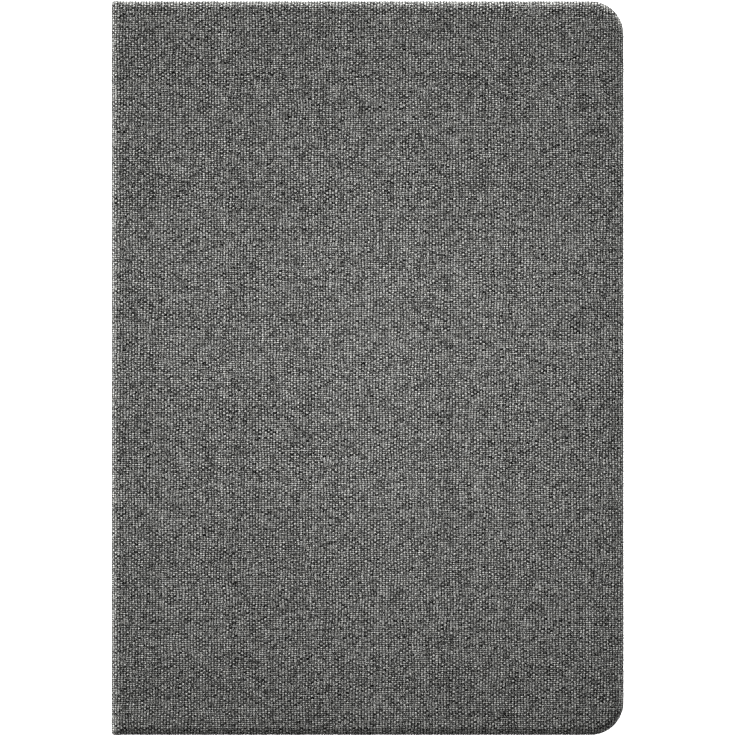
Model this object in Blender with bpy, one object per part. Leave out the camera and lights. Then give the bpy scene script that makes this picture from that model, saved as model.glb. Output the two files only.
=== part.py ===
"""Folio keyboard case for a 10.2 inch tablet, closed and lying on its back cover.

Metres, +Z up. The spine is at -X and the free edge at +X, Y runs along the spine, and the
origin is on the surface that the case lies on, under its centre. The keyboard is inside the
upper cover and faces down, so the outer face of a key is its low one.
"""

import math

import bmesh
import bpy
from mathutils import Matrix, Vector

# Driving dimensions
CASE_LENGTH = 0.260
CASE_WIDTH = 0.1815
CASE_HEIGHT = 0.021
FREE_CORNER_RADIUS = 0.0117
TABLET_WIDTH = 0.1747
TABLET_LENGTH = 0.2512
TABLET_CORNER_RADIUS = 0.008
KEY_PITCH = 0.0165
KEY_GAP = 0.0026

# Clearance between touching pieces, and layer thicknesses
GAP = 0.0003
FABRIC = 0.0006
BOARD = 0.0012
LINING = 0.0004

# Outer edges of the closed case
X_SPINE = -CASE_WIDTH / 2
X_FREE = CASE_WIDTH / 2
Y_END = CASE_LENGTH / 2

# The two creases, each a quarter round of fabric. A cover turns about a line just inside the
# case's outer corner, so that the outer fabric keeps its length as the case opens.
CREASE_RADIUS = 0.003
CREASE_TRIM_DEGREES = 6.0
FOLD_INSET = 0.00065
X_CREASE = X_SPINE + CREASE_RADIUS
Z_REAR_CREASE = CREASE_RADIUS
Z_FRONT_CREASE = CASE_HEIGHT - CREASE_RADIUS
SPINE_BOARD = 0.001
X_COVER_START = X_CREASE + GAP

# Back cover and tray heights
BACK_EDGE_ROUND = 0.002
BACK_TOP = 0.0024
BACK_BOARD_INSET = 0.0015
TRAY_BOTTOM = BACK_TOP + GAP
TRAY_BASE = 0.001
TRAY_FLOOR = TRAY_BOTTOM + TRAY_BASE
LINING_TOP = TRAY_FLOOR + GAP + LINING
LIP_BOTTOM = LINING_TOP + 0.0077
TRAY_TOP = LIP_BOTTOM + 0.0009
TRAY_WALL_X = 0.00145
TRAY_WALL_Y = 0.0022
TRAY_OUTER_RADIUS = 0.0095
LIP_WIDTH = 0.0025
LIP_CORNER_RADIUS = 0.004
X_TRAY_LOW = X_CREASE + 0.00015
X_TRAY_HIGH = X_TRAY_LOW + TABLET_WIDTH + 2 * TRAY_WALL_X
Y_TRAY = TABLET_LENGTH / 2 + TRAY_WALL_Y

# Fold-out stand, in a window of the back cover
STAND_X_HINGE = -0.0015
STAND_Z_HINGE = 0.0012
STAND_BARREL_RADIUS = 0.0012
STAND_PIN_RADIUS = 0.0005
STAND_BORE_RADIUS = 0.00075
STAND_PIN_LENGTH = 0.005
STAND_PIN_ROOT = 0.001
STAND_FABRIC_STOP = 0.0018
WINDOW_X = -0.076
WINDOW_Y = 0.100
BRACKET_X = -0.008
BRACKET_Y = 0.104
FINGER_NOTCH_X = -0.0815
FINGER_NOTCH_Y = 0.010
STAND_CORNER_RADIUS = 0.005

# Rear camera window
CAMERA_X = 0.077
CAMERA_Y = 0.113
CAMERA_RADIUS = 0.0066
BEZEL_OUTER_RADIUS = 0.0082
BEZEL_FACE = 0.0001

# Keyboard cover heights, from the deck's face upwards
DECK_FACE = 0.0134
DECK_PLATE_TOP = DECK_FACE + 0.0022
DECK_TOP = 0.0186
DECK_INSET = 0.00095
DECK_WALL = 0.0015
DECK_SPINE_RADIUS = 0.002
DECK_WINDOW_TOP = DECK_TOP - 0.001
X_DECK = X_COVER_START + 0.00055
KEY_FACE = 0.0135
KEY_FRAME_LOW = 0.0146
KEY_FRAME_HIGH = 0.0156
KEY_WEB_LOW = 0.0159
KEY_WEB_HIGH = 0.0163
DOME_TIP = 0.0166
DOME_TIP_RADIUS = 0.0015
DOME_ROOT_RADIUS = 0.0025
DOME_SHEET_LOW = 0.0172
KEY_PLATE_LOW = 0.0179
KEY_PLATE_HIGH = 0.0185
COVER_BOARD_LOW = 0.0189
COVER_BOARD_INSET = 0.0021
COVER_EDGE_ROUND = 0.0028
COVER_RIM_LOW = 0.0180

# Key block: seen from the user, the left end of a row is at +Y
ROW_WIDTH = 14.5 * KEY_PITCH
Y_ROW_START = ROW_WIDTH / 2 - KEY_GAP / 2
X_SHORTCUT_ROW = -0.0795
SHORTCUT_DEPTH = 0.0085
X_FIRST_ROW = X_SHORTCUT_ROW + SHORTCUT_DEPTH + KEY_GAP
KEY_DEPTH = KEY_PITCH - KEY_GAP
KEY_TAPER = 0.0005
FLANGE = 0.0007
SPLIT_KEY_GAP = 0.001
BRIDGE_WIDTH = 0.010
BRIDGE_STEP = 0.00005
WELL_MARGIN = 0.0016
X_WELL_LOW = X_SHORTCUT_ROW - WELL_MARGIN
X_WELL_HIGH = X_FIRST_ROW + 5 * KEY_PITCH - KEY_GAP + WELL_MARGIN
Y_WELL = Y_ROW_START + WELL_MARGIN

# Trackpad, battery, board, socket and switch, in the palm rest
TRACKPAD = ((0.022, -0.052), (0.082, 0.052))
TRACKPAD_FACE = 0.0136
TRACKPAD_TOP = 0.0166
TRACKPAD_FLANGE = 0.001
SOCKET_X = 0.0425
SOCKET_Z = 0.0158
SOCKET_INSET = 0.0005
SOCKET_DEPTH = 0.0075
SOCKET_HALF = (0.0046, 0.0014)
SOCKET_BORE_HALF = (0.0042, 0.0011)
SOCKET_TONGUE_HALF = (0.0033, 0.00035)
SOCKET_WALL = 0.001
SWITCH_X = 0.0602
SWITCH_Z = 0.0167
SWITCH_TRAVEL = 0.0025
SWITCH_HALF = (0.0015, 0.0005)
SWITCH_SLIDER_HALF = (0.003, 0.0007)
SWITCH_PROUD = 0.0003
LIGHT_X = 0.070
LIGHT_Y = -0.118
LIGHT_RADIUS = 0.0008
LIGHT_MIDDLE = 0.01475
LIGHT_LENGTH = 0.0025
LIGHT_HOLE_LENGTH = 0.006
ELECTRONICS_X = (0.026, 0.078)
BATTERY_Y = 0.089
BATTERY_HALF_Y = 0.029
BATTERY_RADIUS = 0.002
BATTERY_Z = (0.0160, 0.0183)
MAIN_BOARD_Y = (-0.118, -0.060)
MAIN_BOARD_Z = (0.0163, 0.0173)
MAGNET = ((0.0845, -0.030, 0.0159), (0.0875, 0.030, 0.0179))

# Button covers in the tray's walls
BUTTON_Z_LOW = 0.0065
BUTTON_Z_HIGH = 0.0095
VOLUME_Y = 0.084
VOLUME_HALF = 0.0116
POWER_X = 0.064
POWER_HALF = 0.006
ROCKER_AXIS = 0.0006
ROCKER_PROUD = 0.0004
POWER_PROUD = 0.0006
PORT_HALF = 0.007
PORT_Z_LOW = 0.0056
PORT_Z_HIGH = 0.0112
SPEAKER_START = 0.030
SPEAKER_PITCH = 0.0045
SPEAKER_SLOTS = 5
SPEAKER_HALF = 0.0011
SPEAKER_Z_LOW = 0.0068
SPEAKER_Z_HIGH = 0.0092

ARC_STEPS = 6
BEVEL_STEPS = 2
ROUND_SEGMENTS = 24
SMALL_SEGMENTS = 12
DOME_SEGMENTS = 8


def clear_scene():
    for obj in list(bpy.data.objects):
        bpy.data.objects.remove(obj, do_unlink=True)


def new_collection(name):
    made = bpy.data.collections.new(name)
    bpy.context.scene.collection.children.link(made)
    return made


def material(name, colour, roughness, metallic=0.0):
    made = bpy.data.materials.new(name)
    made.use_nodes = True
    shader = made.node_tree.nodes["Principled BSDF"]
    shader.inputs["Base Color"].default_value = (*colour, 1.0)
    shader.inputs["Roughness"].default_value = roughness
    shader.inputs["Metallic"].default_value = metallic
    made.diffuse_color = (*colour, 1.0)
    return made


def finish_of(name):
    """The material for a node, by what its name says it is made of."""
    for words, made in FINISHES:
        if any(word in name for word in words):
            return made
    return PLASTIC


def add(name, mesh, location=(0, 0, 0)):
    obj = bpy.data.objects.new(name, mesh)
    obj.location = location
    PARTS.objects.link(obj)
    mesh.materials.clear()
    mesh.materials.append(finish_of(name))
    return obj


def as_cutter(obj):
    PARTS.objects.unlink(obj)
    CUTTERS.objects.link(obj)
    obj.hide_render = True
    obj.display_type = "WIRE"
    return obj


def boolean(obj, tool, operation):
    modifier = obj.modifiers.new(tool.name, "BOOLEAN")
    modifier.operation = operation
    modifier.object = as_cutter(tool)


def cut(obj, *tools):
    for tool in tools:
        boolean(obj, tool, "DIFFERENCE")


def join(obj, *tools):
    for tool in tools:
        boolean(obj, tool, "UNION")


def mesh_from(bm, name):
    mesh = bpy.data.meshes.new(name)
    bm.to_mesh(mesh)
    bm.free()
    return mesh


def box(name, low, high):
    """A box between two corners, with its origin at its centre."""
    low, high = Vector(low), Vector(high)
    bm = bmesh.new()
    bmesh.ops.create_cube(bm, size=1.0, matrix=Matrix.Diagonal((*(high - low), 1.0)))
    return add(name, mesh_from(bm, name), (low + high) / 2)


def boxes(name, corners):
    """Several separate boxes in one object, for use as a tool."""
    bm = bmesh.new()
    for low, high in corners:
        low, high = Vector(low), Vector(high)
        place = Matrix.Translation((low + high) / 2) @ Matrix.Diagonal((*(high - low), 1.0))
        bmesh.ops.create_cube(bm, size=1.0, matrix=place)
    return add(name, mesh_from(bm, name))


def rod(name, centre, axis, radius, length, segments=ROUND_SEGMENTS, tip_radius=None):
    """A cylinder, or a cone with a flat tip, centred on a point and lying along an axis."""
    bm = bmesh.new()
    bmesh.ops.create_cone(
        bm,
        cap_ends=True,
        segments=segments,
        radius1=radius,
        radius2=radius if tip_radius is None else tip_radius,
        depth=length,
        matrix=Vector(axis).to_track_quat("Z", "Y").to_matrix().to_4x4(),
    )
    obj = add(name, mesh_from(bm, name), centre)
    obj.data.shade_smooth()
    obj.data.set_sharp_from_angle(angle=math.radians(40))
    return obj


def arc(centre, radius, start, end, steps=ARC_STEPS):
    """Points on an arc, with its angles in degrees."""
    turns = [math.radians(start + (end - start) * i / steps) for i in range(steps + 1)]
    return [(centre[0] + radius * math.cos(t), centre[1] + radius * math.sin(t)) for t in turns]


def rounded(x_low, x_high, y_half, r_low, r_high, inset=0.0):
    """A rectangle's outline, symmetric about the X axis, with one corner radius at each X end."""
    corners = (
        (x_high, y_half, r_high, 0),
        (x_low, y_half, r_low, 90),
        (x_low, -y_half, r_low, 180),
        (x_high, -y_half, r_high, 270),
    )
    points = []
    for x, y, radius, start in corners:
        x -= math.copysign(inset, x - (x_low + x_high) / 2)
        y -= math.copysign(inset, y)
        radius = radius - inset
        if radius <= 0:
            points.append((x, y))
            continue
        centre = (
            x - math.copysign(radius, x - (x_low + x_high) / 2),
            y - math.copysign(radius, y),
        )
        points += arc(centre, radius, start, start + 90)
    return points


def rectangle(x_low, x_high, y_low, y_high):
    return [(x_low, y_low), (x_high, y_low), (x_high, y_high), (x_low, y_high)]


def plate(name, outlines, low, high, bevel=0.0):
    """A flat plate between two heights. The first outline is its edge and the rest are holes."""
    curve = bpy.data.curves.new(name, "CURVE")
    curve.dimensions = "2D"
    curve.fill_mode = "BOTH"
    curve.extrude = (high - low) / 2 - bevel
    curve.bevel_depth = bevel
    curve.bevel_resolution = BEVEL_STEPS
    curve.offset = -bevel
    for points in outlines:
        spline = curve.splines.new("POLY")
        spline.points.add(len(points) - 1)
        for point, (x, y) in zip(spline.points, points):
            point.co = (x, y, 0.0, 1.0)
        spline.use_cyclic_u = True
    guide = bpy.data.objects.new(name, curve)
    PARTS.objects.link(guide)
    bpy.context.view_layer.update()
    graph = bpy.context.evaluated_depsgraph_get()
    mesh = bpy.data.meshes.new_from_object(guide.evaluated_get(graph))
    bpy.data.objects.remove(guide, do_unlink=True)
    bm = bmesh.new()
    bm.from_mesh(mesh)
    bmesh.ops.remove_doubles(bm, verts=bm.verts, dist=1e-6)
    bmesh.ops.recalc_face_normals(bm, faces=bm.faces)
    bm.to_mesh(mesh)
    bm.free()
    return add(name, mesh, (0, 0, (low + high) / 2))


def pivot(name, location, parent=None):
    """An empty on a joint's axis."""
    empty = bpy.data.objects.new(name, None)
    empty.location = location
    PARTS.objects.link(empty)
    if parent:
        attach(empty, parent)
    return empty


def attach(obj, parent):
    bpy.context.view_layer.update()
    obj.parent = parent
    obj.matrix_parent_inverse = parent.matrix_world.inverted()
    return obj


def cover_outline(inset=0.0, x_start=X_COVER_START):
    """The outline of a cover, square at the spine and rounded at the free edge."""
    points = rounded(x_start, X_FREE, Y_END, 0.0, FREE_CORNER_RADIUS, inset)
    return [(max(x, x_start), y) for x, y in points]


def window_outline():
    """The back cover's window for the stand: a notch for each bracket and one for a finger."""
    half = [
        (FINGER_NOTCH_X, FINGER_NOTCH_Y),
        (WINDOW_X, FINGER_NOTCH_Y),
        (WINDOW_X, WINDOW_Y),
        (BRACKET_X, WINDOW_Y),
        (BRACKET_X, BRACKET_Y),
        (0.0, BRACKET_Y),
    ]
    return half + [(x, -y) for x, y in reversed(half)]


def camera_cutter(name, radius, low, high):
    centre = (CAMERA_X, CAMERA_Y, (low + high) / 2)
    return rod(name, centre, (0, 0, 1), radius, high - low)


def fabric_pan(name, flat, rim, edge_round):
    """Fabric wrapped over a cover's edge. flat is the height of its face, rim of its free edge."""
    up = 1 if flat > rim else -1
    far = flat - up * 4 * edge_round
    beyond = X_COVER_START - 4 * edge_round
    outer = plate(name, [cover_outline(0.0, beyond)], min(flat, far), max(flat, far), edge_round)
    flat_inside = flat - up * FABRIC
    inner = plate(
        name + "_inside",
        [cover_outline(FABRIC, beyond - edge_round)],
        min(flat_inside, far),
        max(flat_inside, far),
        edge_round - FABRIC,
    )
    wide = 2 * CASE_WIDTH
    below = (min(rim, rim - up * wide), max(rim, rim - up * wide))
    rest = box(name + "_rest", (-wide, -wide, below[0]), (wide, wide, below[1]))
    spine_side = box(name + "_spine_side", (-wide, -wide, -wide), (X_COVER_START, wide, wide))
    cut(outer, inner, rest, spine_side)
    return outer


def make_back():
    fabric = fabric_pan("back_cover_fabric", 0.0, BACK_TOP, BACK_EDGE_ROUND)
    window = plate("fabric_window", [window_outline()], -BOARD, BACK_TOP + BOARD)
    r_hole = BEZEL_OUTER_RADIUS + GAP
    cut(fabric, window, camera_cutter("fabric_camera_hole", r_hole, -BOARD, BACK_TOP))

    low = FABRIC + GAP
    board_outlines = [cover_outline(BACK_BOARD_INSET), window_outline()]
    board = plate("back_board", board_outlines, low, low + BOARD)
    cut(board, camera_cutter("board_camera_hole", r_hole, 0.0, BACK_TOP))

    bezel = camera_cutter("camera_bezel", BEZEL_OUTER_RADIUS, BEZEL_FACE, BACK_TOP)
    cut(bezel, camera_cutter("bezel_bore", CAMERA_RADIUS, -BOARD, TRAY_FLOOR))

    r_tray = TRAY_OUTER_RADIUS
    tray_outline = rounded(X_TRAY_LOW, X_TRAY_HIGH, Y_TRAY, r_tray, r_tray)
    tray = plate("tablet_tray", [tray_outline], TRAY_BOTTOM, TRAY_TOP)
    x_in = X_TRAY_LOW + TRAY_WALL_X
    x_out = X_TRAY_HIGH - TRAY_WALL_X
    y_in = TABLET_LENGTH / 2
    cavity = rounded(x_in, x_out, y_in, TABLET_CORNER_RADIUS, TABLET_CORNER_RADIUS)
    mouth = rounded(
        x_in + LIP_WIDTH, x_out - LIP_WIDTH, y_in - LIP_WIDTH, LIP_CORNER_RADIUS, LIP_CORNER_RADIUS
    )
    z_low = BUTTON_Z_LOW - GAP
    z_high = BUTTON_Z_HIGH + GAP
    y_volume = VOLUME_HALF + GAP
    x_power = POWER_HALF + GAP
    slots = [
        ((x_out - GAP, VOLUME_Y - y_volume, z_low), (X_FREE, VOLUME_Y + y_volume, z_high)),
        ((POWER_X - x_power, y_in - GAP, z_low), (POWER_X + x_power, Y_END, z_high)),
        ((-PORT_HALF, -Y_END, PORT_Z_LOW), (PORT_HALF, GAP - y_in, PORT_Z_HIGH)),
    ]
    for side in (-1, 1):
        for i in range(SPEAKER_SLOTS):
            x = side * (SPEAKER_START + i * SPEAKER_PITCH)
            low_corner = (x - SPEAKER_HALF, -Y_END, SPEAKER_Z_LOW)
            slots.append((low_corner, (x + SPEAKER_HALF, GAP - y_in, SPEAKER_Z_HIGH)))
    cut(
        tray,
        plate("tray_cavity", [cavity], TRAY_FLOOR, LIP_BOTTOM),
        plate("tray_mouth", [mouth], LIP_BOTTOM - BOARD, TRAY_TOP + BOARD),
        boxes("tray_slots", slots),
        camera_cutter("tray_camera_hole", CAMERA_RADIUS, 0.0, LINING_TOP),
    )

    lining = plate(
        "tray_lining",
        [rounded(x_in, x_out, y_in, TABLET_CORNER_RADIUS, TABLET_CORNER_RADIUS, GAP)],
        TRAY_FLOOR + GAP,
        LINING_TOP,
    )
    cut(lining, camera_cutter("lining_camera_hole", CAMERA_RADIUS + GAP, 0.0, LINING_TOP + BOARD))

    z_button = (BUTTON_Z_LOW + BUTTON_Z_HIGH) / 2
    volume = pivot("volume_pivot", (x_out + ROCKER_AXIS, VOLUME_Y, z_button))
    rocker = box(
        "volume_rocker",
        (x_out + GAP, VOLUME_Y - VOLUME_HALF, BUTTON_Z_LOW),
        (X_TRAY_HIGH + ROCKER_PROUD, VOLUME_Y + VOLUME_HALF, BUTTON_Z_HIGH),
    )
    attach(rocker, volume)
    box(
        "power_button",
        (POWER_X - POWER_HALF, y_in + GAP, BUTTON_Z_LOW),
        (POWER_X + POWER_HALF, Y_TRAY + POWER_PROUD, BUTTON_Z_HIGH),
    )


def make_stand():
    hinge = pivot("stand_pivot", (STAND_X_HINGE, 0.0, STAND_Z_HINGE))
    x_free = WINDOW_X + GAP
    y_side = WINDOW_Y - GAP
    x_stop = STAND_X_HINGE - STAND_FABRIC_STOP
    fabric_outline = rounded(x_free, x_stop, y_side, STAND_CORNER_RADIUS, 0.0)
    attach(plate("stand_fabric", [fabric_outline], 0.0, FABRIC), hinge)

    plate_outline = rounded(x_free, STAND_X_HINGE, y_side, STAND_CORNER_RADIUS, 0.0)
    stand = plate("stand_plate", [plate_outline], FABRIC + GAP, BACK_TOP)
    centre = (STAND_X_HINGE, 0.0, STAND_Z_HINGE)
    barrel = rod("stand_barrel", centre, (0, 1, 0), STAND_BARREL_RADIUS, 2 * y_side)
    join(stand, barrel)
    bore_length = 2 * STAND_PIN_LENGTH + STAND_PIN_ROOT
    y_pin = WINDOW_Y + GAP + STAND_PIN_ROOT - STAND_PIN_LENGTH / 2
    for side, name in ((1, "left"), (-1, "right")):
        ends = []
        for y, radius, length in (
            (y_side, STAND_BORE_RADIUS, bore_length),
            (y_pin, STAND_PIN_RADIUS, STAND_PIN_LENGTH),
        ):
            end_centre = (STAND_X_HINGE, side * y, STAND_Z_HINGE)
            ends.append(rod("stand_end", end_centre, (0, 1, 0), radius, length, SMALL_SEGMENTS))
        bore, pin = ends
        cut(stand, bore)
        y_low, y_high = sorted((side * (WINDOW_Y + GAP), side * (BRACKET_Y - GAP)))
        low = (BRACKET_X + GAP, y_low, GAP)
        bracket = box(f"stand_hinge_{name}", low, (-GAP, y_high, BACK_TOP))
        join(bracket, pin)
    attach(stand, hinge)


def crease(name, z_centre, start, end):
    """A quarter round of fabric along the spine's edge, drawn in XZ and extruded along Y."""
    start += CREASE_TRIM_DEGREES
    end -= CREASE_TRIM_DEGREES
    outer = arc((X_CREASE, z_centre), CREASE_RADIUS, start, end)
    inner = arc((X_CREASE, z_centre), CREASE_RADIUS - FABRIC, start, end)
    strip = plate(name, [outer + inner[::-1]], -Y_END, Y_END)
    strip.rotation_euler.x = math.radians(90)
    return strip


def make_spine():
    rear = pivot("rear_crease_pivot", (X_SPINE + FOLD_INSET, 0.0, FOLD_INSET))
    low = Z_REAR_CREASE + GAP
    high = Z_FRONT_CREASE - GAP
    fabric = box("spine_fabric", (X_SPINE, -Y_END, low), (X_SPINE + FABRIC, Y_END, high))

    low += GAP
    high -= GAP
    y = Y_END - 2 * GAP
    x = X_SPINE + FABRIC + GAP
    board = box("spine_board", (x, -y, low), (x + SPINE_BOARD, y, high))
    x += SPINE_BOARD + GAP
    lining = box("spine_lining", (x, -y, low), (x + LINING, y, high))
    rear_strip = crease("rear_crease", Z_REAR_CREASE, 180, 270)
    front_strip = crease("front_crease", Z_FRONT_CREASE, 90, 180)
    for obj in (fabric, board, lining, rear_strip, front_strip):
        attach(obj, rear)
    return rear


def key_rows():
    """Every keycap as (node, x low, x high, y low, y high). Keys that share a node move as one."""
    caps = []
    pitch = ROW_WIDTH / 14
    for i in range(14):
        x = X_SHORTCUT_ROW
        y = Y_ROW_START - i * pitch
        caps.append(("shortcut_keys", x, x + SHORTCUT_DEPTH, y - pitch + KEY_GAP, y))
    left, right, bottom = "left_side_keys", "right_side_keys", "bottom_keys"
    rows = (
        [("number_keys", 1.0)] * 13 + [("number_keys", 1.5)],
        [(left, 1.5)] + [(f"key_{c}", 1.0) for c in "qwertyuiop"] + [(right, 1.0)] * 3,
        [(left, 1.75)] + [(f"key_{c}", 1.0) for c in "asdfghjkl"] + [(right, 1.0)] * 2 + [(right, 1.75)],
        [(left, 2.25)] + [(f"key_{c}", 1.0) for c in "zxcvbnm"] + [(right, 1.0)] * 3 + [(right, 2.25)],
        [(bottom, w) for w in (1.0, 1.0, 1.0, 1.25, 5.0, 1.25, 1.0, 1.0, 1.0, 1.0)],
    )
    for row, keys in enumerate(rows):
        x = X_FIRST_ROW + row * KEY_PITCH
        y = Y_ROW_START
        for place, (node, width) in enumerate(keys):
            y_low = y - width * KEY_PITCH + KEY_GAP
            half = (KEY_DEPTH - SPLIT_KEY_GAP) / 2
            if node == bottom and place == 8:
                caps.append((node, x, x + half, y_low, y))
                caps.append((node, x + KEY_DEPTH - half, x + KEY_DEPTH, y_low, y))
            else:
                caps.append((node, x, x + KEY_DEPTH, y_low, y))
            y = y_low - KEY_GAP
    return caps


def keycaps(name, caps, face, root):
    """Tapered caps in one object, smaller at their outer face, which is the low one."""
    bm = bmesh.new()
    for x_low, x_high, y_low, y_high in caps:
        size = Vector((x_high - x_low, y_high - y_low, root - face))
        centre = Vector(((x_low + x_high) / 2, (y_low + y_high) / 2, (face + root) / 2))
        place = Matrix.Translation(centre) @ Matrix.Diagonal((*size, 1.0))
        made = bmesh.ops.create_cube(bm, size=1.0, matrix=place)["verts"]
        for vert in made:
            if vert.co.z < centre.z:
                vert.co.x -= math.copysign(KEY_TAPER, vert.co.x - centre.x)
                vert.co.y -= math.copysign(KEY_TAPER, vert.co.y - centre.y)
    return add(name, mesh_from(bm, name))


def key_node(name, caps):
    """One key, or several on a common web. The flange under a key is wider than its aperture."""
    x_low = min(c[0] for c in caps) - FLANGE
    x_high = max(c[1] for c in caps) + FLANGE
    y_low = min(c[2] for c in caps) - FLANGE
    y_high = max(c[3] for c in caps) + FLANGE
    flanges = [
        ((c[0] - FLANGE, c[2] - FLANGE, KEY_WEB_LOW), (c[1] + FLANGE, c[3] + FLANGE, KEY_WEB_HIGH))
        for c in caps
    ]
    if name in ("left_side_keys", "right_side_keys"):
        y_edge = y_high if name == "left_side_keys" else y_low
        y0, y1 = sorted((y_edge, y_edge - math.copysign(BRIDGE_WIDTH, y_edge)))
        low = (x_low, y0 + BRIDGE_STEP, KEY_WEB_LOW + BRIDGE_STEP)
        obj = box(name, low, (x_high, y1 - BRIDGE_STEP, KEY_WEB_HIGH - BRIDGE_STEP))
        rows = sorted({(f[0][0], f[1][0]) for f in flanges})
        webs = []
        for x0, x1 in rows:
            in_row = [f for f in flanges if f[0][0] == x0]
            y0 = min(f[0][1] for f in in_row)
            y1 = max(f[1][1] for f in in_row)
            webs.append(((x0, y0, KEY_WEB_LOW), (x1, y1, KEY_WEB_HIGH)))
        join(obj, boxes(name + "_webs", webs))
    else:
        obj = box(name, (x_low, y_low, KEY_WEB_LOW), (x_high, y_high, KEY_WEB_HIGH))
    join(obj, keycaps(name + "_caps", caps, KEY_FACE, (KEY_WEB_LOW + KEY_WEB_HIGH) / 2))
    return obj


def make_keys(cover):
    caps = key_rows()
    for name in dict.fromkeys(c[0] for c in caps):
        attach(key_node(name, [c[1:] for c in caps if c[0] == name]), cover)

    outlines = [rectangle(X_WELL_LOW + GAP, X_WELL_HIGH - GAP, GAP - Y_WELL, Y_WELL - GAP)]
    sheet = plate("dome_sheet", outlines, DOME_SHEET_LOW, DOME_SHEET_LOW + GAP)
    attach(plate("key_plate", outlines, KEY_PLATE_LOW, KEY_PLATE_HIGH), cover)
    outlines += [rectangle(x0 - GAP, x1 + GAP, y0 - GAP, y1 + GAP) for _, x0, x1, y0, y1 in caps]
    attach(plate("key_frame", outlines, KEY_FRAME_LOW, KEY_FRAME_HIGH), cover)

    bm = bmesh.new()
    dome_height = DOME_SHEET_LOW + GAP / 2 - DOME_TIP
    for _, x0, x1, y0, y1 in caps:
        middle = Vector(((x0 + x1) / 2, (y0 + y1) / 2, DOME_TIP + dome_height / 2))
        bmesh.ops.create_cone(
            bm,
            cap_ends=True,
            segments=DOME_SEGMENTS,
            radius1=DOME_TIP_RADIUS,
            radius2=DOME_ROOT_RADIUS,
            depth=dome_height,
            matrix=Matrix.Translation(middle),
        )
    join(sheet, add("domes", mesh_from(bm, "domes")))
    attach(sheet, cover)


def wall_slot(x, z, half, extra_x, y_in):
    """The corners of a slot through the deck's wall, a gap wider than what slides in it."""
    low = (x - half[0] - GAP, -CASE_LENGTH, z - half[1] - GAP)
    return low, (x + half[0] + GAP + extra_x, y_in, z + half[1] + GAP)


def make_deck(cover):
    x_out = X_FREE - DECK_INSET
    y_out = Y_END - DECK_INSET
    r_free = FREE_CORNER_RADIUS - DECK_INSET
    outline = rounded(X_DECK, x_out, y_out, DECK_SPINE_RADIUS, r_free)
    pocket = rounded(X_DECK, x_out, y_out, DECK_SPINE_RADIUS, r_free, DECK_WALL)
    deck = plate("keyboard_deck", [outline], DECK_FACE, DECK_TOP)
    (x0, y0), (x1, y1) = TRACKPAD
    wall_y = DECK_WALL - y_out
    windows = [
        ((X_WELL_LOW, -Y_WELL, 0.0), (X_WELL_HIGH, Y_WELL, DECK_WINDOW_TOP)),
        ((x0 - GAP, y0 - GAP, 0.0), (x1 + GAP, y1 + GAP, DECK_WINDOW_TOP)),
        wall_slot(SOCKET_X, SOCKET_Z, SOCKET_HALF, 0.0, wall_y + SOCKET_DEPTH),
        wall_slot(SWITCH_X, SWITCH_Z, SWITCH_HALF, SWITCH_TRAVEL, wall_y + GAP),
    ]
    light_centre = (LIGHT_X, LIGHT_Y, DECK_FACE)
    light_hole = rod(
        "light_hole",
        light_centre,
        (0, 0, 1),
        LIGHT_RADIUS + GAP,
        LIGHT_HOLE_LENGTH,
        SMALL_SEGMENTS,
    )
    cut(
        deck,
        plate("deck_pocket", [pocket], DECK_PLATE_TOP, DECK_TOP + BOARD),
        boxes("deck_windows", windows),
        light_hole,
    )
    attach(deck, cover)


def wall_box(name, x, z, half, y_low, y_high):
    """A box in or behind the deck's wall, centred on a point of it."""
    low = (x - half[0], y_low, z - half[1])
    return box(name, low, (x + half[0], y_high, z + half[1]))


def make_electronics(cover):
    (x0, y0), (x1, y1) = TRACKPAD
    pad = box(
        "trackpad",
        (x0 - TRACKPAD_FLANGE, y0 - TRACKPAD_FLANGE, KEY_WEB_LOW),
        (x1 + TRACKPAD_FLANGE, y1 + TRACKPAD_FLANGE, TRACKPAD_TOP),
    )
    face = plate("trackpad_face", [rectangle(x0, x1, y0, y1)], TRACKPAD_FACE, KEY_WEB_LOW + GAP)
    join(pad, face)

    (x0, x1), (z0, z1) = ELECTRONICS_X, BATTERY_Z
    edge = rounded(x0, x1, BATTERY_HALF_Y, BATTERY_RADIUS, BATTERY_RADIUS)
    battery = plate("battery", [edge], z0, z1)
    battery.location.y = BATTERY_Y
    (y0, y1), (z0, z1) = MAIN_BOARD_Y, MAIN_BOARD_Z
    board = box("main_board", (x0, y0, z0), (x1, y1, z1))
    magnet = box("closing_magnet", *MAGNET)
    light_centre = (LIGHT_X, LIGHT_Y, LIGHT_MIDDLE)
    up = (0, 0, 1)
    light = rod("status_light", light_centre, up, LIGHT_RADIUS, LIGHT_LENGTH, SMALL_SEGMENTS)

    wall_out = DECK_INSET - Y_END
    wall_in = wall_out + DECK_WALL
    socket = (SOCKET_X, SOCKET_Z)
    mouth_y = wall_out + SOCKET_INSET
    back_y = mouth_y + SOCKET_DEPTH
    bore_y = (mouth_y - SOCKET_WALL, back_y - SOCKET_WALL)
    tongue_y = (mouth_y + SOCKET_WALL, back_y - SOCKET_WALL / 2)
    shell = wall_box("charge_port", *socket, SOCKET_HALF, mouth_y, back_y)
    cut(shell, wall_box("port_bore", *socket, SOCKET_BORE_HALF, *bore_y))
    join(shell, wall_box("port_tongue", *socket, SOCKET_TONGUE_HALF, *tongue_y))

    middle = (SWITCH_X, SWITCH_Z)
    knob_y = (wall_out - SWITCH_PROUD, wall_in + SOCKET_WALL)
    slider_y = (wall_in + GAP, wall_in + DECK_WALL)
    switch = wall_box("power_switch", *middle, SWITCH_HALF, *knob_y)
    join(switch, wall_box("switch_slider", *middle, SWITCH_SLIDER_HALF, *slider_y))
    for obj in (pad, battery, board, magnet, light, shell, switch):
        attach(obj, cover)


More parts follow.
